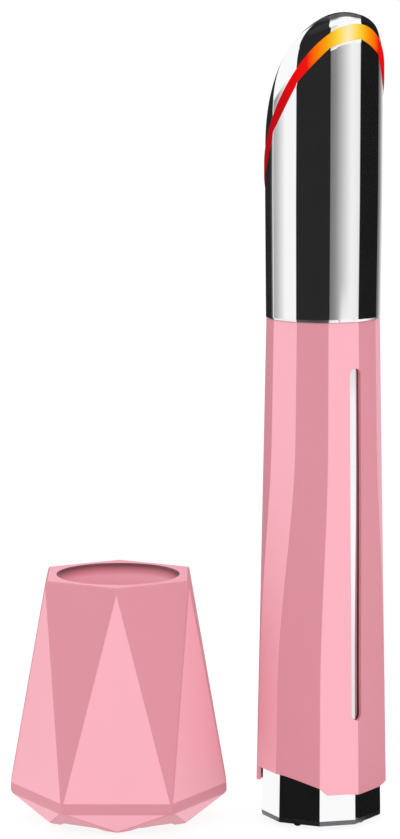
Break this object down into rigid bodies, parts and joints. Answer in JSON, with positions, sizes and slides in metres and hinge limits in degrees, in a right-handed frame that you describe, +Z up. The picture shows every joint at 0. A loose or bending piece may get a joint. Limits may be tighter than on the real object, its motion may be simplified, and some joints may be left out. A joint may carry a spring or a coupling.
{
  "type": "heated massager wand",
  "caption": "Slim faceted hand-held massager with a chromed oblique warming tip, a lit ring, a slotted pink grip and a faceted resting stand.",
  "frame": {"origin": "on the floor, midway between the outer edges of the stand on the left and the wand's skirt on the right", "axes": "+Z up along the wand's axis, +X from the stand to the wand, +Y to the back, away from the side with the slot"},
  "size_m": [0.0651, 0.0326, 0.1391],
  "materials": {
    "pink_sleeve": "satin pink lacquer over moulded ABS",
    "pink_stand": "satin moulded ABS",
    "chrome_head": "polished and chromed zinc alloy",
    "chrome_tube": "polished and chromed tube",
    "ring_light": "translucent polycarbonate light guide, lit",
    "foot_steel": "brushed",
    "black_screw": "black oxide",
    "black_plastic": "moulded",
    "grey_plastic": "moulded",
    "gilt_pin": "gold plated",
    "heater_film": "polyimide film",
    "sensor_bead": "epoxy bead",
    "board": "glass epoxy with green solder resist",
    "lamp": "clear epoxy lamp",
    "motor_steel": "drawn steel",
    "cell_wrap": "shrink wrapped can",
    "nickel": "nickel strip",
    "component_black": "moulded epoxy",
    "lead_red": "silicone insulation",
    "ballast_iron": "as cast",
    "pad_silicone": "moulded silicone"
  },
  "bodies": {
    "wand": {"massage_head": "chrome_head", "light_ring": "ring_light", "head_barrel": "chrome_head", "barrel_collar": "black_plastic", "handle_tube": "chrome_tube", "handle_sleeve": "pink_sleeve", "end_plate": "foot_steel", "foot_screws": "black_screw", "switch_housing": "black_plastic", "charging_pins": "gilt_pin", "heater_film": "heater_film", "temperature_sensor": "sensor_bead", "led_board": "board", "led_lamps": "lamp", "motor_mount": "grey_plastic", "motor_case": "motor_steel", "motor_end_cap": "black_plastic", "chassis": "grey_plastic", "battery_cell": "cell_wrap", "battery_tabs": "nickel", "circuit_board": "board", "board_components": "component_black", "internal_leads": "lead_red"},
    "rotor": {"motor_shaft": "motor_steel", "eccentric_weight": "motor_steel"},
    "switch": {"switch_knob": "black_plastic"},
    "stand": {"stand_shell": "pink_stand", "stand_base": "pink_stand", "stand_ballast": "ballast_iron", "stand_foot_pad": "pad_silicone", "stand_screws": "motor_steel", "socket_pad": "pad_silicone"}
  },
  "joints": [
    {"name": "motor_spin", "type": "hinge", "parent": "wand", "child": "rotor", "pos_m": [0.02135, 0, 0.105], "axis": [0, 0, 1], "continuous": true},
    {"name": "switch_slide", "type": "slide", "parent": "wand", "child": "switch", "axis": [1, 0, 0], "range_m": [0, 0.0015]},
    {"name": "stand_slide", "type": "slide", "parent": "wand", "child": "stand", "axis": [-1, 0, 0], "range_m": [0, 0.12]}
  ]
}
